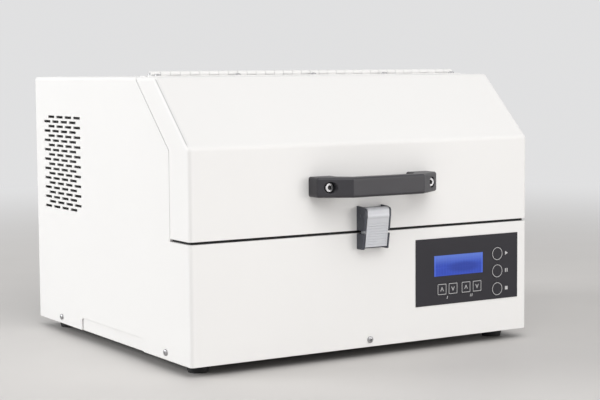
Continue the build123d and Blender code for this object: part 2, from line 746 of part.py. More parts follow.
def make_arm():
    arm = bar(-hub_half, hub_half, hub_radius)
    neck = saddle_width / 2 - 3
    column = side_prism([(-24, 15), (24, 15), (neck, saddle_low + 1), (-neck, saddle_low + 1)], -11, 11)
    for side in (-1, 1):
        x0, x1 = sorted((side * 4.5, side * 12))
        column -= side_prism([(-14, 37), (14, 37), (12, saddle_low - 6), (-12, saddle_low - 6)], x0, x1)
    arm += column
    gusset = make_face(Polyline((10 - saddle_half, saddle_low + 1), (saddle_half - 10, saddle_low + 1),
                                (10, 38), (-10, 38), close=True))
    arm += extrude(Plane.XZ * gusset, 5, both=True)
    arm += box(-saddle_half, saddle_half, -saddle_width / 2, saddle_width / 2, saddle_low, saddle_high)
    for side in (-1, 1):
        x0, x1 = sorted((side * (saddle_half - end_plate), side * saddle_half))
        arm += box(x0, x1, -saddle_width / 2, saddle_width / 2, saddle_high - 1, clamp_height)
        arm += bar(x0, x1, saddle_width / 2, clamp_height)
    inner = saddle_half - end_plate
    arm += bar(-inner, 4 - inner, jaw_radius, clamp_height)
    arm += bar(saddle_half, saddle_half + 8, 15, clamp_height)
    cradle = box(-32, jaw_rest_x - jaw_travel - 2, -saddle_width / 2, saddle_width / 2, saddle_high - 1,
                 saddle_high + 16)
    arm += cradle - bar(-99, 99, vial_radius, clamp_height)
    arm += rod_z(0, 0, -tail_length, 5 - hub_radius, tail_radius)
    arm -= bar(-hub_half - 1, hub_half + 1, arm_bearing_radius)
    arm -= bar(0, 99, screw_radius + running_gap, clamp_height)
    save("clamp_arm", journal * arm)
    ring = Cylinder(arm_bearing_radius - seat_gap, arm_bearing_width)
    bearing = Rot(0, 90, 0) * (ring - Cylinder(journal_radius + running_gap, arm_bearing_width))
    seat = hub_half - 1 - arm_bearing_width / 2
    save("arm_bearings", *[journal * Pos(side * seat, 0, 0) * bearing for side in (-1, 1)])


def make_clamp():
    jaw = bar(jaw_rest_x, jaw_rest_x + jaw_sheet, jaw_radius, clamp_height)
    foot = saddle_high + fit_gap
    jaw += box(jaw_rest_x, jaw_rest_x + jaw_sheet, -8, 8, foot, clamp_height)
    save("clamp_jaw", journal * jaw)
    start = jaw_rest_x + jaw_sheet + seat_gap
    grip = start + screw_length
    spindle = bar(start, grip, screw_radius, clamp_height)
    spindle = chamfer(spindle.edges().group_by(Axis.X)[0], 1.5)
    spindle += bar(grip - 14, grip, 12, clamp_height)
    cross_x = grip - 7
    spindle -= rod_z(cross_x, 0, clamp_height - 20, clamp_height + 20, crossbar_radius + seat_gap)
    save("clamp_screw", journal * spindle)
    reach = crossbar_length / 2
    rod = rod_z(cross_x, 0, clamp_height - reach, clamp_height + reach, crossbar_radius)
    for side in (-1, 1):
        z0, z1 = sorted((clamp_height + side * (reach - 9), clamp_height + side * reach))
        knob = rod_z(cross_x, 0, z0, z1, crossbar_radius + 2.5)
        rod += chamfer(knob.edges().filter_by(GeomType.CIRCLE), 1.5)
    save("crossbar", journal * rod)


def pulley(radius, bore):
    """Flat-belt pulley with flanged rims."""
    groove = belt_width / 2 + fit_gap
    disc = Cylinder(radius + pulley_flange, pulley_width)
    disc -= Cylinder(radius + 9, 2 * groove) - Cylinder(radius, 2 * groove)
    return Rot(0, 90, 0) * (disc - Cylinder(bore + seat_gap, pulley_width))


def belt_loop(extra):
    """Area inside the belt, grown outwards by extra."""
    rear = motor_y - shaft_y
    rise = motor_z - shaft_z
    front_ring = Circle(driven_radius + extra).edges()
    back_ring = (Pos(rear, rise) * Circle(motor_pulley_radius + extra)).edges()
    return make_hull([*front_ring, *back_ring])


def make_drive():
    save("driven_pulley", Pos(pulley_x, shaft_y, shaft_z) * pulley(driven_radius, shaft_radius))
    save("motor_pulley", Pos(pulley_x, motor_y, motor_z) * pulley(motor_pulley_radius, motor_shaft_radius))
    loop = belt_loop(fit_gap + belt_sheet) - belt_loop(fit_gap)
    belt = extrude(Plane.YZ * loop, belt_width / 2, both=True)
    save("drive_belt", Pos(pulley_x, shaft_y, shaft_z) * belt)


def make_motor():
    end = motor_half + motor_bell
    profile = make_face(Polyline((-end, 0), (-end, 20), (-motor_half, motor_radius - 8),
                                 (-motor_half, motor_radius), (motor_half, motor_radius),
                                 (motor_half, motor_radius - 8), (end, 20), (end, 0), close=True))
    stator = revolve(profile, Axis.X)
    groove = box(-motor_half + 12, motor_half - 12, -3, 3, motor_radius - 3, motor_radius + 3)
    stator -= [Rot(360 * i / motor_ribs, 0, 0) * groove for i in range(motor_ribs)]
    stator -= rod_x(-motor_half + 8, motor_half - 8, 0, 0, 34)
    stator -= rod_x(-end - 1, end + 1, 0, 0, motor_shaft_radius + running_gap)
    place = Pos(0, motor_y, motor_z)
    save("motor_housing", place * stator)
    rotor = rod_x(-end, pulley_x + pulley_width / 2 + 2, 0, 0, motor_shaft_radius)
    save("motor_rotor", place * (rotor + rod_x(-motor_half + 12, motor_half - 12, 0, 0, 33)))


def make_fan():
    back = depth - sheet
    front = back - fan_depth
    half = fan_side / 2
    frame = box(fan_x - half, fan_x + half, front, back, fan_z - half, fan_z + half)
    frame = fillet(frame.edges().filter_by(Axis.Y), 5)
    frame -= rod_y(fan_x, front - 1, back + 1, fan_z, fan_radius)
    for turn in (30, 150, 270):
        strut = Pos(fan_x, front + 2, fan_z) * Rot(0, turn, 0) * box(0, fan_radius + 1, -2, 2, -3, 3)
        frame += strut
    frame += rod_y(fan_x, front, front + 4, fan_z, fan_hub_radius)
    frame -= rod_y(fan_x, front - 1, front + 9, fan_z, 2 + running_gap)
    frame -= screw_holes("back", [(x, back, z) for x, y, z in fan_screw_places], 2 * fan_depth)
    save("fan_frame", frame)
    rotor_front = front + 4 + fit_gap
    rotor = rod_y(0, rotor_front, back - 2, 0, fan_hub_radius)
    middle = (rotor_front + back - 2) / 2
    blade = Pos(0, middle, 0) * Rot(35, 0, 0) * box(fan_hub_radius - 2, fan_radius - 2, -0.8, 0.8, -11, 11)
    blade &= rod_y(0, rotor_front, back - 2, 0, fan_radius - 1.5)
    for i in range(fan_blades):
        rotor += Rot(0, 360 * i / fan_blades, 0) * blade
    rotor += rod_y(0, front + 0.5, rotor_front + 1, 0, 2)
    save("fan_rotor", Pos(fan_x, 0, fan_z) * rotor)
    guard = Circle(2.0)
    for radius in (21, 41):
        guard += Circle(radius + 1.2) - Circle(radius - 1.2)
    for angle in (45, 135):
        guard += Rot(0, 0, angle) * Rectangle(fan_screw_pitch * sqrt(2) + 4, 2.6)
    for i in (-1, 1):
        for j in (-1, 1):
            corner = Pos(i * fan_screw_pitch / 2, j * fan_screw_pitch / 2)
            guard += corner * RegularPolygon(4.6, 8)
            guard -= corner * RegularPolygon(screw_hole_radius, 8, major_radius=False)
    plate = extrude(Plane.XZ * guard, guard_sheet, dir=(0, 1, 0))
    save("fan_guard", Pos(fan_x, depth, fan_z) * plate)


def make_inlet():
    body = box(inlet_x - inlet_half, inlet_x + inlet_half, depth - 26, depth, inlet_z - inlet_drop,
               switch_z + inlet_half)
    flange = box(inlet_x - inlet_half - 5, inlet_x + inlet_half + 5, depth, depth + fitting_proud,
                 inlet_z - inlet_drop - 3, switch_z + inlet_half + 3)
    body += fillet(flange.edges().filter_by(Axis.Y), 3)
    socket = box(inlet_x - 12, inlet_x + 12, depth - 15, depth + 9, inlet_z - 1, inlet_z + 16)
    socket = chamfer([e for e in socket.edges().filter_by(Axis.Y) if e.center().Z > inlet_z], 4)
    body -= socket
    for dx, dz in ((-7, 5.5), (0, 9.5), (7, 5.5)):
        body += box(inlet_x + dx - 1, inlet_x + dx + 1, depth - 16, depth - 5, inlet_z + dz - 2,
                    inlet_z + dz + 2)
    body -= box(inlet_x - 11, inlet_x + 11, depth - 22, depth + 9, inlet_z - 15, inlet_z - 5)
    body -= box(switch_x - 7.5, switch_x + 7.5, depth - 9, depth + 9, switch_z - 11.6, switch_z + 11.6)
    pivot_y = depth - 1.5
    body -= rod_x(switch_x - 9, switch_x + 9, pivot_y, switch_z, 1.2 + running_gap)
    save("power_inlet", body)
    rocker = side_prism([(2.8, -10.6), (1.4, 0), (2.8, 10.6), (-3, 9.5), (-3, -9.5)], -7.1, 7.1)
    rocker += rod_x(-8.7, 8.7, 0, 0, 1.2)
    save("switch_rocker", Pos(switch_x, pivot_y, switch_z) * Rot(rocker_tilt, 0, 0) * rocker)
    drawer = box(inlet_x - 11 + fit_gap, inlet_x + 11 - fit_gap, depth - 22 + fit_gap, depth + fitting_proud,
                 inlet_z - 15 + fit_gap, inlet_z - 5 - fit_gap)
    drawer -= box(inlet_x - 8, inlet_x + 8, depth - 18, depth - 4, inlet_z - 12.5, inlet_z)
    drawer -= box(inlet_x - 4, inlet_x + 4, depth, depth + 9, inlet_z - 11.5, inlet_z - 8.5)
    save("fuse_drawer", drawer)


def make_power_board():
    wall = liner_back_y + liner_sheet
    board_front = wall + 8
    left = power_board_x - power_board_width / 2
    right = left + power_board_width
    low = power_board_z - power_board_height / 2
    high = low + power_board_height
    board = box(left, right, board_front, board_front + board_sheet, low, high)
    back = board_front + board_sheet
    board += box(left + 10, left + 54, back, back + 36, high - 50, high - 10)
    board += box(left + 65, left + 95, back, back + 18, high - 40, high - 15)
    board += rod_y(right - 40, back, back + 32, high - 27, 11)
    board += rod_y(right - 16, back, back + 26, high - 27, 8)
    board += box(left + 10, left + 90, back, back + 4, low + 7, low + 37)
    fins = [left + 12 + i * fin_pitch for i in range(heatsink_fins)]
    board += [box(x, x + 2, back, back + 24, low + 7, low + 37) for x in fins]
    board += box(right - 50, right - 6, back, back + 12, low + 7, low + 19)
    save("power_board", board)
    post = Plane.XZ * RegularPolygon(3.2, 6)
    posts = [Pos(x, wall, z) * extrude(post, board_front - wall, dir=(0, 1, 0))
             for x in (left + 6, right - 6) for z in (low + 6, high - 6)]
    posts += [Pos(x, sheet, z) * extrude(post, board_y - sheet, dir=(0, 1, 0))
              for x in (panel_left + 7, panel_right - 7) for z in (panel_low + 7, panel_high - 7)]
    save("board_posts", *posts)


make_hood()
make_cover()
make_rear_panel()
make_base()
make_hinge()
make_gasket()
make_liner()
make_hood_foam()
make_interlock()
make_handle()
make_latch()
make_control_panel()
make_frame()
make_shaft()
make_arm()
make_clamp()
make_drive()
make_motor()
make_fan()
make_inlet()
make_power_board()
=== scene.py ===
import json
from math import atan2, cos, hypot, pi, radians, sin

import bmesh
import bpy
from mathutils import Matrix, Vector


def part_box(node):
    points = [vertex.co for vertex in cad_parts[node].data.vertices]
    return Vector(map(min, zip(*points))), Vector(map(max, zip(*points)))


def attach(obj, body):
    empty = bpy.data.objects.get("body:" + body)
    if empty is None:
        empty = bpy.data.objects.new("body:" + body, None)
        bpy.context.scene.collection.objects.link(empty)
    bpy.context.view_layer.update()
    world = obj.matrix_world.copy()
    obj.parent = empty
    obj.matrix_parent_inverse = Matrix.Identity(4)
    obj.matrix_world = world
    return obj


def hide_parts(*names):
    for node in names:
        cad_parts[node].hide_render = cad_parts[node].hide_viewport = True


# Bench mixer mill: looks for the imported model. Lengths are in metres. The housing's sizes,
# the points given to at() and the forms scaled by MM are in millimetres.

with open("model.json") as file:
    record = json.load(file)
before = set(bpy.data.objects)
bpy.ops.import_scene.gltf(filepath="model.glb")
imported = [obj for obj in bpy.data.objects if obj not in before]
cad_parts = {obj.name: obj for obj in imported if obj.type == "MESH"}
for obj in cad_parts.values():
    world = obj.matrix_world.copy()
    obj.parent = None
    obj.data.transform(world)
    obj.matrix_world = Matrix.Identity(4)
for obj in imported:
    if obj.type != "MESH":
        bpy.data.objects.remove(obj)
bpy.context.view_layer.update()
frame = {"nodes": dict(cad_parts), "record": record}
nodes = frame["nodes"]

MM = 0.001


# Housing sizes in millimetres: x from the middle, y from the front face, z from the lower edge

MIDDLE_Y = 197.4
FOOT = 12.0
HALF_WIDTH = 235.0
DEPTH = 432.0
HEIGHT = 316.0
SLOPE_FOOT_Z = 239.0
SLOPE_TOP_Y = 80.0
NOTCH_Z = 15.5
HINGE_Y = 130.3
LEAF_TOP_Z = 317.2
SLOT_LOW_Z = 134.4
SLOT_HIGH_Z = 137.0
LEVER_PIN = (0.0, -10.2, 155.0)
HANDLE_Z = 191.0
HANDLE_SCREW_X = 70.0
HANDLE_SEAT_Y = -20.4
FAN_X, FAN_Z = -110.0, 235.0
FAN_SCREW = 41.25
INLET_X = 150.0
CLAMP_AXIS = (0.0, 125.0, 200.0)
CLAMP_TILT = 12.0


def at(x, y, z):
    """Point given in the housing's millimetres, as a vector in the shared frame."""
    return Vector((x, y - MIDDLE_Y, z + FOOT)) * MM


def level(z):
    """Height in the shared frame of a height in the housing's millimetres."""
    return (z + FOOT) * MM


# Camera and stage

def place_camera():
    """The photograph's viewpoint: a long lens a little above the hood, from the left front."""
    yaw, pitch, roll = radians(31.582), radians(4.947), radians(-0.426)
    forward = Vector((sin(yaw) * cos(pitch), cos(yaw) * cos(pitch), -sin(pitch)))
    sideways = Vector((cos(yaw), -sin(yaw), 0.0))
    rise = sideways.cross(forward)
    right = sideways * cos(roll) + rise * sin(roll)
    up = rise * cos(roll) - sideways * sin(roll)
    turn = Matrix((right, up, -forward)).transposed().to_4x4()
    data = bpy.data.cameras.new("camera")
    data.sensor_width = 36.0
    data.lens = 90.87
    data.clip_end = 60.0
    camera = bpy.data.objects.new("camera", data)
    camera.matrix_world = Matrix.Translation((-0.984, -1.6442, 0.3358)) @ turn
    bpy.context.scene.collection.objects.link(camera)
    bpy.context.scene.camera = camera


def area_lamp(name, place, target, size, power, color=(1.0, 1.0, 1.0)):
    """Square soft box aimed at a point."""
    data = bpy.data.lights.new(name, "AREA")
    data.shape = "SQUARE"
    data.size = size
    data.energy = power
    data.color = color
    lamp = bpy.data.objects.new(name, data)
    lamp.location = place
    lamp.rotation_mode = "QUATERNION"
    lamp.rotation_quaternion = (Vector(target) - Vector(place)).to_track_quat("-Z", "Y")
    bpy.context.scene.collection.objects.link(lamp)


def node_tree(owner):
    """An empty node tree and a short way to add a node with values set."""
    owner.use_nodes = True
    tree = owner.node_tree
    tree.nodes.clear()

    def add(kind, **values):
        node = tree.nodes.new(kind)
        for key, value in values.items():
            if hasattr(node, key):
                setattr(node, key, value)
            else:
                node.inputs[key.replace("_", " ")].default_value = value
        return node

    return tree, add


PALE = (0.75, 0.75, 0.755, 1.0)
WORLD_STRENGTH = 0.36
FLOOR_RADIUS = 14.0
FADE_START, FADE_END = 0.7, 2.6


def seen_directly(tree, add):
    """1 for rays that show the stage itself: from the camera, a reflection or through glass."""
    link = tree.links.new
    path = add("ShaderNodeLightPath")
    either = add("ShaderNodeMath", operation="MAXIMUM")
    link(path.outputs["Is Camera Ray"], either.inputs[0])
    link(path.outputs["Is Glossy Ray"], either.inputs[1])
    both = add("ShaderNodeMath", operation="MAXIMUM")
    link(either.outputs[0], both.inputs[0])
    link(path.outputs["Is Transmission Ray"], both.inputs[1])
    return both.outputs[0]


def make_world():
    """Even white light on the object, with the backdrop's pale colour where it is seen."""
    world = bpy.data.worlds.new("studio")
    bpy.context.scene.world = world
    tree, add = node_tree(world)
    link = tree.links.new
    lighting = add("ShaderNodeBackground", Color=(1.0, 1.0, 1.0, 1.0), Strength=WORLD_STRENGTH)
    shown = add("ShaderNodeBackground", Color=PALE, Strength=1.0)
    mix = add("ShaderNodeMixShader")
    link(seen_directly(tree, add), mix.inputs[0])
    link(lighting.outputs[0], mix.inputs[1])
    link(shown.outputs[0], mix.inputs[2])
    link(mix.outputs[0], add("ShaderNodeOutputWorld").inputs[0])


def make_floor():
    """Pale disc that keeps the shadow near the object and fades to the backdrop's colour."""
    mesh = bpy.data.meshes.new("floor")
    form = bmesh.new()
    bmesh.ops.create_circle(form, cap_ends=True, segments=96, radius=FLOOR_RADIUS)
    form.to_mesh(mesh)
    form.free()
    floor = bpy.data.objects.new("floor", mesh)
    bpy.context.scene.collection.objects.link(floor)
    material = bpy.data.materials.new("floor_pale")
    tree, add = node_tree(material)
    link = tree.links.new
    place = add("ShaderNodeTexCoord")
    reach = add("ShaderNodeVectorMath", operation="LENGTH")
    link(place.outputs["Object"], reach.inputs[0])
    fade = add("ShaderNodeMapRange", interpolation_type="SMOOTHSTEP", From_Min=FADE_START,
               From_Max=FADE_END)
    link(reach.outputs["Value"], fade.inputs["Value"])
    cloud = add("ShaderNodeTexNoise", Scale=9.0, Detail=5.0)
    tone = add("ShaderNodeValToRGB")
    tone.color_ramp.elements[0].color = (0.620, 0.605, 0.590, 1.0)
    tone.color_ramp.elements[1].color = (0.655, 0.640, 0.625, 1.0)
    link(place.outputs["Object"], cloud.inputs["Vector"])
    link(cloud.outputs["Fac"], tone.inputs["Fac"])
    near = add("ShaderNodeBsdfPrincipled", Roughness=0.55)
    link(tone.outputs["Color"], near.inputs["Base Color"])
    far = add("ShaderNodeEmission", Color=PALE, Strength=1.0)
    seen = add("ShaderNodeMath", operation="MULTIPLY")
    link(fade.outputs["Result"], seen.inputs[0])
    link(seen_directly(tree, add), seen.inputs[1])
    mix = add("ShaderNodeMixShader")
    link(seen.outputs[0], mix.inputs[0])
    link(near.outputs[0], mix.inputs[1])
    link(far.outputs[0], mix.inputs[2])
    link(mix.outputs[0], add("ShaderNodeOutputMaterial").inputs["Surface"])
    mesh.materials.append(material)


AIM = (0, 0, 0.15)
WARM = (1.0, 0.965, 0.940)

place_camera()
make_world()
make_floor()
area_lamp("left_rear", (-3.3, 1.8, 1.4), AIM, 1.8, 89.0)
area_lamp("right_front", (2.4, -3.2, 2.0), AIM, 3.6, 18.0, WARM)
area_lamp("right_low", (2.0, -3.4, 0.6), AIM, 1.6, 29.0, WARM)
area_lamp("front_top", (-0.6, -2.2, 2.7), (0, 0, 0.2), 3.0, 66.0, (1.0, 0.990, 0.980))


# Materials

def shade(name, color, roughness=0.5, metallic=0.0, tone=0.03, tone_scale=7.0, grain=0.0,
          grain_scale=900.0, grain_depth=0.0001, spread=0.04, stretch=(1.0, 1.0, 1.0), edge=0.0,
          specular=0.5):
    """Principled surface with slow changes of tone, uneven gloss, fine grain and soft edges."""
    material = bpy.data.materials.new(name)
    tree, add = node_tree(material)
    link = tree.links.new
    surface = add("ShaderNodeBsdfPrincipled", Metallic=metallic)
    surface.inputs["Specular IOR Level"].default_value = specular
    place = add("ShaderNodeTexCoord")
    spacing = add("ShaderNodeMapping", Scale=stretch)
    link(place.outputs["Object"], spacing.inputs["Vector"])
    cloud = add("ShaderNodeTexNoise", Scale=tone_scale, Detail=4.0)
    link(spacing.outputs["Vector"], cloud.inputs["Vector"])
    ramp = add("ShaderNodeValToRGB")
    dark, light = ramp.color_ramp.elements
    dark.position, light.position = 0.3, 0.7
    dark.color = [c * (1 - tone) for c in color] + [1.0]
    light.color = [min(c * (1 + tone), 1.0) for c in color] + [1.0]
    link(cloud.outputs["Fac"], ramp.inputs["Fac"])
    link(ramp.outputs["Color"], surface.inputs["Base Color"])
    fine = add("ShaderNodeTexNoise", Scale=grain_scale, Detail=3.0)
    link(spacing.outputs["Vector"], fine.inputs["Vector"])
    gloss = add("ShaderNodeMapRange", From_Min=0.3, From_Max=0.7, To_Min=roughness - spread,
                To_Max=roughness + spread)
    link(fine.outputs["Fac"], gloss.inputs["Value"])
    link(gloss.outputs["Result"], surface.inputs["Roughness"])
    bump = add("ShaderNodeBump", Strength=grain, Distance=grain_depth)
    link(fine.outputs["Fac"], bump.inputs["Height"])
    if edge:
        soften = add("ShaderNodeBevel", samples=4, Radius=edge)
        link(soften.outputs["Normal"], bump.inputs["Normal"])
    link(bump.outputs["Normal"], surface.inputs["Normal"])
    link(surface.outputs[0], add("ShaderNodeOutputMaterial").inputs["Surface"])
    return material


def grey(value):
    """Neutral colour."""
    return (value, value, value, 1.0)


def tinted(material, mask, color):
    """Mixes a colour into the surface's own colour where the mask is 1."""
    tree = material.node_tree
    surface = next(n for n in tree.nodes if n.type == "BSDF_PRINCIPLED")
    mix = tree.nodes.new("ShaderNodeMix")
    mix.data_type = "RGBA"
    tree.links.new(mask, mix.inputs["Factor"])
    tree.links.new(surface.inputs["Base Color"].links[0].from_socket, mix.inputs["A"])
    mix.inputs["B"].default_value = color
    tree.links.new(mix.outputs["Result"], surface.inputs["Base Color"])


def split_place(material, output):
    """X, Y and Z of the object's own position or normal, and two ways to make masks of them."""
    tree = material.node_tree
    place = tree.nodes.new("ShaderNodeTexCoord")
    split = tree.nodes.new("ShaderNodeSeparateXYZ")
    tree.links.new(place.outputs[output], split.inputs["Vector"])

    def step(source, low, high):
        node = tree.nodes.new("ShaderNodeMapRange")
        node.inputs["From Min"].default_value = low
        node.inputs["From Max"].default_value = high
        tree.links.new(source, node.inputs["Value"])
        return node.outputs["Result"]

    def combined(operation, *sources):
        node = tree.nodes.new("ShaderNodeMath")
        node.operation = operation
        for slot, source in zip(node.inputs, sources):
            if isinstance(source, float):
                slot.default_value = source
            else:
                tree.links.new(source, slot)
        return node.outputs[0]

    return split.outputs, step, combined


def painted_pan_shade(material):
    """Painted shade on faces that look down; a painted shadow line under each notch's top edge."""
    normal, step, _ = split_place(material, "Normal")
    # Painted shade: downward faces darkened as if they lay in shadow.
    tinted(material, step(normal["Z"], -0.5, -0.7), (0.045, 0.045, 0.047, 1.0))
    place, step, combined = split_place(material, "Object")
    # Painted shadow: a thin dark band just under each notch's top edge.
    above = step(place["Z"], level(NOTCH_Z - 0.8), level(NOTCH_Z - 0.6))
    below = step(place["Z"], level(NOTCH_Z + 1.5), level(NOTCH_Z + 1.3))
    tinted(material, combined("MULTIPLY", above, below), grey(0.26))
    return material


def painted_joint_shade(material):
    """Painted shade where the side flanges meet the wrapped sheet, along the slope's two ends."""
    place, step, combined = split_place(material, "Object")
    out = combined("ABSOLUTE", place["X"])
    above = step(place["Z"], level(SLOPE_FOOT_Z + 0.5), level(SLOPE_FOOT_Z + 5.0))
    below = step(place["Z"], level(HEIGHT - 1.5), level(HEIGHT - 3.5))
    slope = combined("MULTIPLY", above, below)
    inner = step(out, (HALF_WIDTH - 4.2) * MM, (HALF_WIDTH - 2.5) * MM)
    outer = step(out, (HALF_WIDTH - 0.6) * MM, (HALF_WIDTH - 0.2) * MM)
    # Painted shade: a slightly darker band over the rounded bend, which dims its highlight.
    bend_shade = combined("SUBTRACT", inner, outer)
    tinted(material, combined("MULTIPLY", bend_shade, slope), grey(0.77))
    # Painted shadow: a thin grey line for the shade in the joint's gap.
    off = combined("ABSOLUTE", combined("SUBTRACT", out, (HALF_WIDTH - 1.32) * MM))
    tinted(material, combined("MULTIPLY", step(off, 0.00042, 0.00028), slope), grey(0.50))
    return material


def display_surface():
    """Backlit blue window: pale top and ends, a dim cloud in the middle, faint character cells."""
    material = bpy.data.materials.new("display_blue")
    tree, add = node_tree(material)
    link = tree.links.new
    low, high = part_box("display_window")

    def ranged(source, *limits):
        node = add("ShaderNodeMapRange", interpolation_type="SMOOTHSTEP", From_Min=limits[0],
                   From_Max=limits[1], To_Min=limits[2], To_Max=limits[3])
        link(source, node.inputs["Value"])
        return node.outputs["Result"]

    def blended(base, factor, color):
        mix = add("ShaderNodeMix", data_type="RGBA")
        link(factor, mix.inputs["Factor"])
        link(base, mix.inputs["A"])
        mix.inputs["B"].default_value = color
        return mix.outputs["Result"]

    place = add("ShaderNodeTexCoord")
    split = add("ShaderNodeSeparateXYZ")
    link(place.outputs["Object"], split.inputs["Vector"])
    turn = add("ShaderNodeMapping", Rotation=(pi / 2, 0.0, 0.0))
    link(place.outputs["Object"], turn.inputs["Vector"])
    cells = add("ShaderNodeTexBrick", offset=0.0, Scale=1.0, Mortar_Size=0.0005,
                Brick_Width=0.0041, Row_Height=0.0088)
    cells.inputs["Color1"].default_value = (0.022, 0.055, 0.385, 1.0)
    cells.inputs["Color2"].default_value = (0.024, 0.059, 0.400, 1.0)
    cells.inputs["Mortar"].default_value = (0.028, 0.066, 0.430, 1.0)
    link(turn.outputs["Vector"], cells.inputs["Vector"])
    middle = [(a + b) / 2 for a, b in zip(low, high)]
    span = high[0] - low[0]
    tall = high[2] - low[2]
    rise = ranged(split.outputs["Z"], low[2] + 0.45 * tall, high[2], 0.0, 0.62)
    color = blended(cells.outputs["Color"], rise, (0.125, 0.215, 0.620, 1.0))
    shift = (-middle[0] - 0.1 * span, 0.0, 0.12 * tall - middle[2])
    centre = add("ShaderNodeMapping", Location=shift)
    link(place.outputs["Object"], centre.inputs["Vector"])
    squash = add("ShaderNodeMapping", Scale=(2.6 / span, 0.0, 3.4 / tall))
    link(centre.outputs["Vector"], squash.inputs["Vector"])
    away = add("ShaderNodeVectorMath", operation="LENGTH")
    link(squash.outputs["Vector"], away.inputs[0])
    cloud = ranged(away.outputs["Value"], 0.5, 1.1, 0.7, 0.0)
    color = blended(color, cloud, (0.014, 0.036, 0.260, 1.0))
    for edge, inner in ((low[0], low[0] + 0.05 * span), (high[0], high[0] - 0.05 * span)):
        glow = ranged(split.outputs["X"], inner, edge, 0.0, 0.55)
        color = blended(color, glow, (0.080, 0.165, 0.700, 1.0))
    surface = add("ShaderNodeBsdfPrincipled", Roughness=0.22, Emission_Strength=0.22)
    surface.inputs["Specular IOR Level"].default_value = 0.3
    link(color, surface.inputs["Base Color"])
    link(color, surface.inputs["Emission Color"])
    link(surface.outputs[0], add("ShaderNodeOutputMaterial").inputs["Surface"])
    return material


def white_coat(name):
    """Near-white powder coat of the housing."""
    return shade(name, (0.866, 0.864, 0.858), 0.42, tone=0.008, tone_scale=5.0, grain=0.16,
                 grain_scale=1100.0, spread=0.05, edge=0.0006, specular=0.30)


SURFACES = {
    "grey_steel": dict(color=(0.52, 0.53, 0.54), roughness=0.36, metallic=1.0, tone=0.10,
                       tone_scale=30.0, grain=0.10, grain_scale=500.0, stretch=(0.15, 1.0, 1.0),
                       edge=0.0003),
    "bright_steel": dict(color=(0.66, 0.67, 0.69), roughness=0.27, metallic=1.0, tone=0.06,
                         tone_scale=60.0, grain=0.08, grain_scale=1500.0, edge=0.0002),
    "screw_zinc": dict(color=(0.40, 0.40, 0.41), roughness=0.30, metallic=1.0, tone=0.08,
                       tone_scale=90.0, grain=0.10, grain_scale=1500.0, edge=0.0002),
    "latch_silver": dict(color=(0.630, 0.645, 0.680), roughness=0.50, metallic=0.40, tone=0.04,
                         tone_scale=40.0, grain=0.12, grain_scale=1400.0, edge=0.0006),
    "latch_black": dict(color=(0.055, 0.060, 0.077), roughness=0.40, tone=0.10, tone_scale=50.0,
                        grain=0.12, grain_scale=1600.0, edge=0.0003),
    "handle_grey": dict(color=(0.032, 0.031, 0.037), roughness=0.42, tone=0.08, tone_scale=30.0,
                        grain=0.45, grain_scale=1300.0, edge=0.0009),
    "rubber_black": dict(color=(0.020, 0.020, 0.021), roughness=0.72, tone=0.15, tone_scale=60.0,
                         grain=0.35, grain_scale=900.0, edge=0.0008),
    "gasket_black": dict(color=(0.016, 0.016, 0.017), roughness=0.85, tone=0.20,
                         tone_scale=200.0, grain=0.7, grain_scale=1800.0, grain_depth=0.0003),
    "overlay_charcoal": dict(color=(0.022, 0.021, 0.027), roughness=0.42, tone=0.05,
                             tone_scale=12.0, grain=0.22, grain_scale=2200.0, edge=0.0003,
                             specular=0.25),
    "key_charcoal": dict(color=(0.020, 0.019, 0.025), roughness=0.40, tone=0.05,
                         tone_scale=80.0, grain=0.22, grain_scale=2200.0, edge=0.0004,
                         specular=0.25),
    "legend_grey": dict(color=(0.56, 0.56, 0.57), roughness=0.55, tone=0.06, tone_scale=300.0,
                        grain=0.15, grain_scale=2500.0),
    "module_black": dict(color=(0.030, 0.030, 0.032), roughness=0.45, tone=0.08, tone_scale=60.0,
                         grain=0.30, grain_scale=1500.0, edge=0.0003),
    "board_green": dict(color=(0.020, 0.120, 0.050), roughness=0.34, tone=0.18,
                        tone_scale=160.0, grain=0.20, grain_scale=1200.0),
    "foam_grey": dict(color=(0.055, 0.055, 0.060), roughness=0.92, tone=0.30, tone_scale=260.0,
                      grain=0.9, grain_scale=1100.0, grain_depth=0.0006),
    "cast_grey": dict(color=(0.13, 0.14, 0.15), roughness=0.52, metallic=0.15, tone=0.10,
                      tone_scale=40.0, grain=0.6, grain_scale=420.0, grain_depth=0.0003,
                      edge=0.0010),
    "arm_aluminium": dict(color=(0.62, 0.63, 0.65), roughness=0.33, metallic=1.0, tone=0.05,
                          tone_scale=50.0, grain=0.15, grain_scale=700.0,
                          stretch=(1.0, 0.2, 1.0), edge=0.0006),
    "nylon_white": dict(color=(0.72, 0.70, 0.64), roughness=0.50, tone=0.04, tone_scale=60.0,
                        grain=0.15, grain_scale=900.0, edge=0.0004),
    "belt_black": dict(color=(0.022, 0.022, 0.023), roughness=0.66, tone=0.20, tone_scale=300.0,
                       grain=0.5, grain_scale=700.0, stretch=(1.0, 0.1, 0.1)),
    "motor_grey": dict(color=(0.085, 0.095, 0.110), roughness=0.45, metallic=0.2, tone=0.08,
                       tone_scale=30.0, grain=0.5, grain_scale=500.0, edge=0.0008),
    "fan_black": dict(color=(0.022, 0.022, 0.023), roughness=0.42, tone=0.08, tone_scale=80.0,
                      grain=0.20, grain_scale=1400.0, edge=0.0004),
    "magnet_grey": dict(color=(0.08, 0.08, 0.085), roughness=0.50, tone=0.10, tone_scale=120.0,
                        grain=0.25, grain_scale=1500.0, edge=0.0004),
}

materials = {"white_coat": white_coat("white_coat")}
materials.update({name: shade(name, **values) for name, values in SURFACES.items()})
materials["display_blue"] = display_surface()

for entry in frame["record"]["subparts"]:
    target = nodes[entry["node"]]
    target.data.materials.clear()
    target.data.materials.append(materials[entry["material_slot"]])
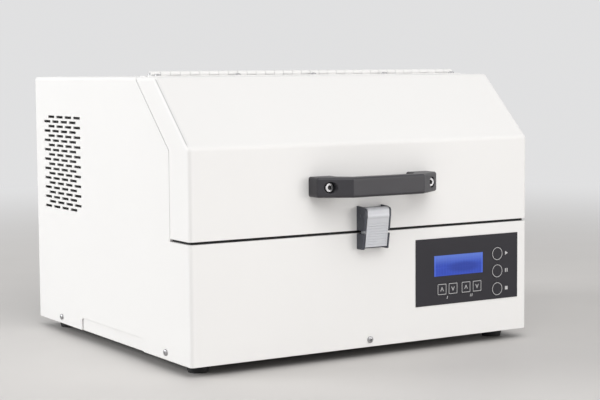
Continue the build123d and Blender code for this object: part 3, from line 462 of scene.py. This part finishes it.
# Painted shade on the pan's underside and painted shadow lines under the notches.
nodes["base_pan"].data.materials[0] = painted_pan_shade(white_coat("pan_coat_painted_shade"))
# Painted shade along the slope's side bends, with a painted shadow line of the joint's gap.
nodes["hood_shell"].data.materials[0] = painted_joint_shade(white_coat("hood_coat_painted_shade"))


# Mesh helpers

# Radius in place of a point, where a turned form closes on its axis
TIP = 0.0001


def around(radius, steps):
    """Points of a circle about the origin."""
    return [(radius * cos(2 * pi * k / steps), radius * sin(2 * pi * k / steps))
            for k in range(steps)]


def ring_across_y(centre, radius, steps):
    """Points of a circle about a centre, in the plane of X and Z."""
    return [centre + Vector((a, 0.0, b)) for a, b in around(radius, steps)]


def strips(rows, n, closed=False):
    """Faces between rows of n points; closed also joins the last row to the first."""
    return [(r * n + i, r * n + (i + 1) % n, (r + 1) % rows * n + (i + 1) % n,
             (r + 1) % rows * n + i) for r in range(rows if closed else rows - 1)
            for i in range(n)]


def capped(rows, n):
    """Faces between rows of n points, and a face over each end."""
    return strips(rows, n) + [tuple(reversed(range(n))), tuple(range((rows - 1) * n, rows * n))]


def lathe(profile, segments=40):
    """Vertices and faces of (radius, z) points turned about Z; both ends are closed."""
    points = [(a, b, z) for r, z in profile for a, b in around(r, segments)]
    return points, capped(len(profile), segments)


def tube(path, radius, sides=12, closed=False):
    """Vertices and faces of a round wire along a path of vectors."""
    count = len(path)
    points = []
    for i, place in enumerate(path):
        before = path[i - 1] if closed or i else place
        after = path[(i + 1) % count] if closed or i < count - 1 else place
        run = (after - before).normalized()
        side = run.cross(Vector((0.0, 1.0, 0.0)))
        side = side.normalized() if side.length > 0.01 else run.orthogonal().normalized()
        lift = side.cross(run)
        points += [place + (side * a + lift * b) * radius for a, b in around(1.0, sides)]
    return points, strips(count, sides, True) if closed else capped(count, sides)


def joined(parts):
    """One list of vertices and one of faces from several."""
    points, faces = [], []
    for some_points, some_faces in parts:
        start = len(points)
        points += [Vector(p) for p in some_points]
        faces += [tuple(start + i for i in face) for face in some_faces]
    return points, faces


def placed(form, matrix):
    """The form moved by a matrix."""
    points, faces = form
    return [matrix @ Vector(p) for p in points], faces


def block(x0, x1, y0, y1, z0, z1):
    """Vertices and faces of a box."""
    points = [(x, y, z) for z in (z0, z1) for y in (y0, y1) for x in (x0, x1)]
    return points, [(0, 2, 3, 1), (4, 5, 7, 6), (0, 1, 5, 4), (2, 6, 7, 3), (0, 4, 6, 2),
                    (1, 3, 7, 5)]


def object_of(name, form, smooth=40.0):
    """Object with the form's mesh, smooth up to an angle in degrees, or flat at 0."""
    points, faces = form
    mesh = bpy.data.meshes.new(name)
    mesh.from_pydata([tuple(p) for p in points], [], faces)
    outward = bmesh.new()
    outward.from_mesh(mesh)
    bmesh.ops.recalc_face_normals(outward, faces=outward.faces)
    outward.to_mesh(mesh)
    outward.free()
    made = bpy.data.objects.new(name, mesh)
    bpy.context.scene.collection.objects.link(made)
    if smooth:
        mesh.shade_smooth()
        mesh.set_sharp_from_angle(angle=radians(smooth))
    return made


def piece(name, form, body, slot, replaces=(), smooth=40.0):
    """A finished piece: its mesh, material, body and the CAD nodes it stands for."""
    made = object_of(name, form, smooth)
    made.data.materials.append(materials[slot])
    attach(made, body)
    if replaces:
        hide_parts(*replaces)
    return made


def cut(form, cutter):
    """The form with the cutter's shape taken out of it."""
    base, tool = object_of("base", form, 0), object_of("tool", cutter, 0)
    change = base.modifiers.new("cut", "BOOLEAN")
    change.operation = "DIFFERENCE"
    change.solver = "EXACT"
    change.object = tool
    graph = bpy.context.evaluated_depsgraph_get()
    mesh = bpy.data.meshes.new_from_object(base.evaluated_get(graph))
    result = [v.co.copy() for v in mesh.vertices], [tuple(p.vertices) for p in mesh.polygons]
    for used in (base, tool):
        bpy.data.objects.remove(used)
    return result


# Screws

TURNS = {"front": Matrix.Rotation(pi / 2, 4, "X"), "back": Matrix.Rotation(-pi / 2, 4, "X"),
         "left": Matrix.Rotation(-pi / 2, 4, "Y"), "right": Matrix.Rotation(pi / 2, 4, "Y"),
         "up": Matrix.Identity(4)}
SHANK = 0.0019
LOW_SCREW_Z = 8.4
SIDE_SCREW_Y = (60.7, 358.0)
REAR_EDGE = 7.5
REAR_SCREW_Z = (60.0, 280.0)
REAR_LOW_X = (-150.0, 150.0)
REAR_TOP_X = (-90.0, 90.0)
HINGE_PITCH = 105.0
LEAF_HOLE = 9.5


def pan_screw(radius, height, length):
    """Domed head with a tapered cross recess, on its shank; the seat is at z = 0.

    The cross is also given by itself, as a dark piece of painted shade at the recess's bottom.
    """
    dome = [(radius * cos(a), height * (0.45 + 0.55 * sin(a)))
            for a in [pi / 2 * k / 6 for k in range(6)]]
    profile = [(SHANK, -length), (SHANK, 0.0), (radius * 0.985, 0.0)] + dome + [(TIP, height)]
    head = lathe(profile, 36)
    mouth, deep = height * 1.1, height * 0.45
    arm, wide = radius * 0.60, radius * 0.12
    low_arm, low_wide = arm * 0.4, wide * 0.8
    wing = [(-arm, -wide, mouth), (arm, -wide, mouth), (arm, wide, mouth), (-arm, wide, mouth),
            (-low_arm, -low_wide, deep), (low_arm, -low_wide, deep), (low_arm, low_wide, deep),
            (-low_arm, low_wide, deep)]
    sides = [(0, 1, 2, 3), (7, 6, 5, 4), (0, 4, 5, 1), (1, 5, 6, 2), (2, 6, 7, 3), (3, 7, 4, 0)]
    wings = [placed((wing, sides), Matrix.Rotation(turn, 4, "Z")) for turn in (0, pi / 2)]
    for cross_wing in wings:
        head = cut(head, cross_wing)
    return head, placed(joined(wings), Matrix.Diagonal((1.0, 1.0, 0.62, 1.0)))


def copies(form, seats):
    """The form at each seat, given as direction, place and turn."""
    return [placed(form, Matrix.Translation(place) @ TURNS[way] @ Matrix.Rotation(spin, 4, "Z"))
            for way, place, spin in seats]


def make_screws():
    """Screws of the cover, the rear panel, the fan guard and the hinge, with painted shade in
    their recesses.
    """
    sheet_screw = pan_screw(0.0038, 0.0026, 0.0078)
    long_screw = pan_screw(0.0038, 0.0026, 0.0240)
    rear_x = HALF_WIDTH - REAR_EDGE
    seats = [("front", at(0, 0, LOW_SCREW_Z), 0.3)]
    seats += [("left", at(-HALF_WIDTH, y, LOW_SCREW_Z), 0.5 + y) for y in SIDE_SCREW_Y]
    seats += [("right", at(HALF_WIDTH, y, LOW_SCREW_Z), 1.1 + y) for y in SIDE_SCREW_Y]
    seats += [("back", at(side * rear_x, DEPTH, z), z + side)
              for side in (-1, 1) for z in REAR_SCREW_Z]
    seats += [("back", at(x, DEPTH, LOW_SCREW_Z), x) for x in REAR_LOW_X]
    seats += [("back", at(x, DEPTH, HEIGHT - REAR_EDGE), x + 0.4) for x in REAR_TOP_X]
    guard = [("back", at(FAN_X + i * FAN_SCREW, DEPTH + 1.8, FAN_Z + j * FAN_SCREW), i + 2 * j)
             for i in (-1, 1) for j in (-1, 1)]
    heads = copies(sheet_screw[0], seats) + copies(long_screw[0], guard)
    # Dark crosses at the bottom of the recesses: painted shade.
    recess_shades = copies(sheet_screw[1], seats + guard)
    piece("panel_screw_heads", joined(heads), "root", "screw_zinc", ["panel_screws"])
    piece("panel_screw_recess_shade", joined(recess_shades), "root", "module_black", smooth=0)
    small = pan_screw(0.0036, 0.0020, 0.0068)
    for owner, body, side in (("hood", "hood", -1), ("cover", "root", 1)):
        y = HINGE_Y + side * LEAF_HOLE
        seats = [("up", at(i * HINGE_PITCH, y, LEAF_TOP_Z), i * 0.7 + side)
                 for i in range(-2, 3)]
        piece("hinge_screw_heads_" + owner, joined(copies(small[0], seats)), body, "screw_zinc",
              ["hinge_screws_" + owner])
        # Painted shade: dark crosses in the hinge screws' recesses.
        piece("hinge_screw_recess_shade_" + owner, joined(copies(small[1], seats)), body,
              "module_black", smooth=0)


def make_handle_screws():
    """Socket-head screws in the handle's two recesses, with a dark disc of painted shade in each
    socket.
    """
    head = lathe([(0.0024, -0.0268), (0.0024, 0.0), (0.0051, 0.0), (0.0051, 0.0028),
                  (0.0048, 0.0032), (TIP, 0.0032)], 40)
    head = cut(head, lathe([(0.0029, 0.0004), (0.0029, 0.0040)], 6))
    # Painted shade: a dark disc at the bottom of each hex socket.
    socket_shade = lathe([(0.00285, 0.0003), (0.00285, 0.0009)], 6)
    seats = [("front", at(side * HANDLE_SCREW_X, HANDLE_SEAT_Y, HANDLE_Z), 0.2 * side)
             for side in (-1, 1)]
    piece("handle_socket_screws", joined(copies(head, seats)), "hood", "screw_zinc",
          ["handle_screws"])
    piece("handle_socket_shade", joined(copies(socket_shade, seats)), "hood", "module_black")


make_screws()
make_handle_screws()


# Prints on the control panel, in the housing's millimetres

PRINT = 0.05
KEY_FACE = -1.0
OVERLAY_FACE = -0.6
KEY_Z = 58.9
ROUND_KEY_X = 188.5
SYMBOL_X = 201.0
# Each square key's x with the way its chevron points, and each round key's z
KEYS = {"minutes_up": (104.0, 1), "minutes_down": (120.5, -1), "seconds_up": (140.2, 1),
        "seconds_down": (157.1, -1)}
ROUND_KEYS = {"start": 96.2, "pause": 74.9, "stop": 52.8}


def flat_print(rings, face_y):
    """Thin raised print: each ring is an outer and an optional inner loop of (x, z) points."""
    parts = []
    for outer, inner in rings:
        n = len(outer)
        loops = [outer, inner] if inner else [outer]
        points = [at(x, y, z) for loop in loops for y in (face_y + 0.01, face_y - PRINT)
                  for x, z in loop]
        faces = strips(2, n) if inner else capped(2, n)
        if inner:
            for i in range(n):
                j = (i + 1) % n
                faces.append((2 * n + i, 3 * n + i, 3 * n + j, 2 * n + j))
                faces.append((n + i, n + j, 3 * n + j, 3 * n + i))
                faces.append((i, 2 * n + i, 2 * n + j, j))
        parts.append((points, faces))
    return joined(parts)


def rounded_square(x, z, half, radius, steps=5):
    """Loop of (x, z) points with four round corners."""
    loop = []
    inset = half - radius
    for cx, cz, start in ((1, 1, 0.0), (-1, 1, pi / 2), (-1, -1, pi), (1, -1, 3 * pi / 2)):
        for k in range(steps + 1):
            a = start + pi / 2 * k / steps
            loop.append((x + cx * inset + radius * cos(a), z + cz * inset + radius * sin(a)))
    return loop


def circle(x, z, radius, steps=48):
    """Loop of (x, z) points around a centre."""
    return [(x + a, z + b) for a, b in around(radius, steps)]


def rectangle(x0, x1, z, half):
    """Loop of the four corners between x0 and x1, half a height above and below z."""
    return [(x0, z - half), (x1, z - half), (x1, z + half), (x0, z + half)]


def stroke(points, half):
    """Closed outline of an open line with square ends and mitred bends."""
    left, right = [], []
    last = len(points) - 1
    for i, (x, z) in enumerate(points):
        x0, z0 = points[max(i - 1, 0)]
        x1, z1 = points[min(i + 1, last)]
        ahead = atan2(z1 - z, x1 - x) if i < last else atan2(z - z0, x - x0)
        behind = atan2(z - z0, x - x0) if i else ahead
        middle = (ahead + behind) / 2
        wide = half / max(cos((ahead - behind) / 2), 0.35)
        left.append((x - wide * sin(middle), z + wide * cos(middle)))
        right.append((x + wide * sin(middle), z - wide * cos(middle)))
    return left + right[::-1]


def make_key_prints():
    """Frames and chevrons on the square keys, rings on the round ones, symbols on the overlay."""
    for name, (x, way) in KEYS.items():
        border = (rounded_square(x, KEY_Z, 6.4, 0.8), rounded_square(x, KEY_Z, 5.75, 0.6))
        low, high = KEY_Z - 2.2 * way, KEY_Z + 2.2 * way
        chevron = stroke([(x - 2.1, low), (x, high), (x + 2.1, low)], 0.40)
        piece(name + "_print", flat_print([border, (chevron, None)], KEY_FACE), name,
              "legend_grey", smooth=0)
    for name, z in ROUND_KEYS.items():
        ring = (circle(ROUND_KEY_X, z, 7.8), circle(ROUND_KEY_X, z, 7.15))
        piece(name + "_print", flat_print([ring], KEY_FACE), name, "legend_grey", smooth=0)
    z = ROUND_KEYS["start"]
    symbols = [[(SYMBOL_X, z - 2.4), (SYMBOL_X + 4.2, z), (SYMBOL_X, z + 2.4)]]
    symbols += [rectangle(x, x + 1.3, ROUND_KEYS["pause"], 2.3)
                for x in (SYMBOL_X, SYMBOL_X + 2.6)]
    symbols.append(rectangle(SYMBOL_X, SYMBOL_X + 4.2, ROUND_KEYS["stop"], 2.1))
    for middle, marks in ((112.2, 1), (148.6, 2)):
        for k in range(marks):
            x = middle + (k - (marks - 1) / 2) * 2.2
            symbols.append(stroke([(x + 0.6, 50.2), (x - 0.4, 46.8)], 0.42))
    prints = flat_print([(symbol, None) for symbol in symbols], OVERLAY_FACE)
    piece("overlay_prints", prints, "root", "legend_grey", smooth=0)


make_key_prints()


# Rear fittings

WIRE = 0.0009
EYE = 0.0042


def make_fan_guard():
    """Wire guard: four rings welded to two crossing bars that end in screw eyes."""
    centre = at(FAN_X, DEPTH + 1.4, FAN_Z)
    parts = [tube(ring_across_y(centre, radius, 72), WIRE, 10, closed=True)
             for radius in (0.011, 0.021, 0.031, 0.041)]
    behind = Vector((0, -0.0006, 0))
    for i in (-1, 1):
        for j in (-1, 1):
            corner = Vector((i * FAN_SCREW * MM, 0.0, j * FAN_SCREW * MM))
            along = corner.normalized()
            bar = [centre + along * 0.009 + behind, centre + corner - along * EYE + behind]
            eye = ring_across_y(centre + corner + Vector((0, -0.0004, 0)), EYE, 32)
            parts.append(tube(bar, WIRE, 10))
            parts.append(tube(eye, WIRE, 10, closed=True))
    piece("fan_wire_guard", joined(parts), "root", "bright_steel", ["fan_guard"])


def make_inlet_pins():
    """Nickel-plated blades over the socket's three pins."""
    parts = []
    for dx, dz in ((-7, 5.5), (0, 9.5), (7, 5.5)):
        x, z = INLET_X + dx, 64 + dz
        low, high = at(x - 1.05, 416.5, z - 2.05), at(x + 1.05, 427.1, z + 2.05)
        parts.append(block(low.x, high.x, low.y, high.y, low.z, high.z))
    piece("inlet_pins", joined(parts), "root", "bright_steel", smooth=0)


def make_rocker_marks():
    """Line and ring on the two halves of the switch."""
    face = Matrix.Translation(at(INLET_X, 430.5, 98.0)) @ Matrix.Rotation(radians(8.0), 4, "X")
    half = radians(7.5)
    line = block(-0.0004, 0.0004, 0.0, 0.00010, -0.0018, 0.0018)
    ring = tube(ring_across_y(Vector((0.0, 0.0, 0.0)), 0.0016, 32), 0.00022, 8, closed=True)
    parts = [placed(mark, face @ Matrix.Translation((0, 0.00210, side * 0.0053))
                    @ Matrix.Rotation(-side * half, 4, "X"))
             for mark, side in ((line, 1), (ring, -1))]
    piece("rocker_marks", joined(parts), "rocker", "legend_grey", smooth=0)


make_fan_guard()
make_inlet_pins()
make_rocker_marks()


# Latch, gasket, foam and clamp

def make_latch_rivet():
    """Pin through the two cheeks with a low head at each end."""
    half = 18.0
    profile = [(TIP, -half - 1.0), (1.4, -half - 0.9), (2.3, -half - 0.4), (2.4, -half),
               (1.5, -half), (1.5, half), (2.4, half), (2.3, half + 0.4), (1.4, half + 0.9),
               (TIP, half + 1.0)]
    form = lathe([(r * MM, z * MM) for r, z in profile], 32)
    turn = Matrix.Translation(at(*LEVER_PIN)) @ Matrix.Rotation(pi / 2, 4, "Y")
    piece("latch_rivet", placed(form, turn), "hood", "latch_black", ["lever_pin"])


def make_gasket():
    """Black sponge strip along the slot's front and sides, round at its outer edge."""
    low, high = SLOT_LOW_Z, SLOT_HIGH_Z
    middle, half = (low + high) / 2, (high - low) / 2
    lip = [(half * (1 - sin(a)), middle + half * cos(a)) for a in [pi * k / 8 for k in range(9)]]
    section = lip + [(10.0, low), (10.0, high)]
    edge, front, back, corner = 232.0, 3.0, 46.0, 0.71
    left = [(-edge, back, 1, 0), (-edge, front + 3, 1, 0),
            (-edge + 0.9, front + 0.9, corner, corner), (-edge + 3, front, 0, 1)]
    turns = left + [(-x, y, -dx, dy) for x, y, dx, dy in reversed(left)]
    points = [at(x + dx * depth, y + dy * depth, z)
              for x, y, dx, dy in turns for depth, z in section]
    form = points, capped(len(turns), len(section))
    piece("slot_seal", form, "root", "gasket_black", ["slot_gasket"], smooth=35)


def make_seam_seals():
    """Pale strips that close the upright and slanting seam behind the hood's side flanges."""
    outline = stroke([(46.6, 138.2), (46.6, 235.44), (123.0, 309.0)], 0.45)
    faces = capped(2, len(outline))
    parts = [([at(side * x, y, z) for x in (234.3, 221.0) for y, z in outline], faces)
             for side in (-1, 1)]
    piece("seam_seals", joined(parts), "root", "white_coat", smooth=0)


def make_foam():
    """Waffled acoustic foam that follows the hood's front, slope and top from inside."""
    skin, start_z, end_y, half = 1.8, 205.3, 109.7, 204.5
    top_z = HEIGHT - skin
    rise = HEIGHT - SLOPE_FOOT_Z
    slope = atan2(rise, SLOPE_TOP_Y)
    crest_y = (top_z - SLOPE_FOOT_Z + skin / cos(slope)) / (rise / SLOPE_TOP_Y)
    bend_z = SLOPE_FOOT_Z + skin * rise / SLOPE_TOP_Y - skin / cos(slope)
    path = [(skin, start_z), (skin, bend_z), (crest_y, top_z), (end_y, top_z)]
    runs = [hypot(b[0] - a[0], b[1] - a[1]) for a, b in zip(path, path[1:])]
    total = sum(runs)
    rows, columns = 72, 164
    thin, body, wave_height, pitch, edge = 3.0, 6.2, 2.3, 19.0, 5.0

    def section(distance):
        """Place and direction on the path at a distance along it."""
        for (a, b), run in zip(zip(path, path[1:]), runs):
            way = ((b[0] - a[0]) / run, (b[1] - a[1]) / run)
            if distance <= run + 1e-6:
                t = distance / run
                return a[0] + way[0] * run * t, a[1] + way[1] * run * t, way
            distance -= run
        return path[-1][0], path[-1][1], way

    lines = []
    for i in range(rows + 1):
        u = total * i / rows
        y, z, _ = section(u)
        ways = [section(min(max(u + shift, 0), total))[2] for shift in (-9, -6, -3, 0, 3, 6, 9)]
        way = (sum(w[0] for w in ways), sum(w[1] for w in ways))
        size = hypot(*way)
        lines.append((u, y, z, way[1] / size, -way[0] / size))
    across = [-half + 2 * half * j / columns for j in range(columns + 1)]
    points = []
    for u, y, z, ny, nz in lines:
        for x in across:
            rim = min(u, total - u, x + half, half - x)
            crown = min(rim / edge, 1.0) ** 0.5
            wave = sin(2 * pi * u / pitch) * sin(2 * pi * x / pitch)
            thick = thin + (body + wave_height * wave) * crown
            points.append(at(x, y + ny * thick, z + nz * thick))
    front_count = len(points)
    points += [at(x, y + ny * 0.1, z + nz * 0.1) for u, y, z, ny, nz in lines for x in across]
    wide = columns + 1
    faces = []
    for i in range(rows):
        for j in range(columns):
            a = i * wide + j
            faces.append((a, a + 1, a + wide + 1, a + wide))
            b = a + front_count
            faces.append((b, b + wide, b + wide + 1, b + 1))
    rim = list(range(wide)) + [i * wide + columns for i in range(1, rows + 1)]
    rim += [rows * wide + j for j in range(columns - 1, -1, -1)]
    rim += [i * wide for i in range(rows - 1, 0, -1)]
    for a, b in zip(rim, rim[1:] + rim[:1]):
        faces.append((a, a + front_count, b + front_count, b))
    foam = piece("hood_lining", (points, faces), "hood", "foam_grey", ["hood_foam"], smooth=80)


def make_clamp_thread():
    """Clamp screw with a trapezoidal thread, a chamfered tip and a cross-drilled head."""
    start, grip, pitch = 46.1, 106.1, 3.5
    crown, depth, tip = 8.0, 1.1, 1.4
    sides, step = 36, 0.25
    neck = grip - 14
    rows = int((neck - start) / step)
    points = []
    for i in range(rows + 1):
        along = start + i * step
        fade = min((along - start) / 2.0, (neck - along) / 2.0, 1.0)
        for k in range(sides):
            phase = (along / pitch - k / sides) % 1.0
            height = min(max(abs(phase - 0.5) * 4 - 0.6, 0.0), 0.8) / 0.8
            radius = crown - depth * height * max(fade, 0.0) - max(tip - (along - start), 0.0)
            turn = 2 * pi * k / sides
            points.append((radius * cos(turn), radius * sin(turn), along))
    head = lathe([(11.2, neck), (12.0, grip - 13.2), (12.0, grip - 0.8), (11.2, grip)], 48)
    upright = Matrix.Rotation(pi / 2, 4, "Y")
    bore = placed(lathe([(4.1, -20), (4.1, 20)], 32),
                  Matrix.Translation((0, 0, grip - 7)) @ upright)
    form = joined([(points, capped(rows + 1, sides)), cut(head, bore)])
    tilt = Matrix.Rotation(radians(CLAMP_TILT), 4, "Z")
    place = Matrix.Translation(at(*CLAMP_AXIS)) @ tilt @ upright @ Matrix.Scale(MM, 4)
    piece("clamp_thread", placed(form, place), "screw", "bright_steel", ["clamp_screw"],
          smooth=30)


make_latch_rivet()
make_gasket()
make_seam_seals()
make_foam()
make_clamp_thread()

bpy.context.scene.view_settings.view_transform = "Standard"
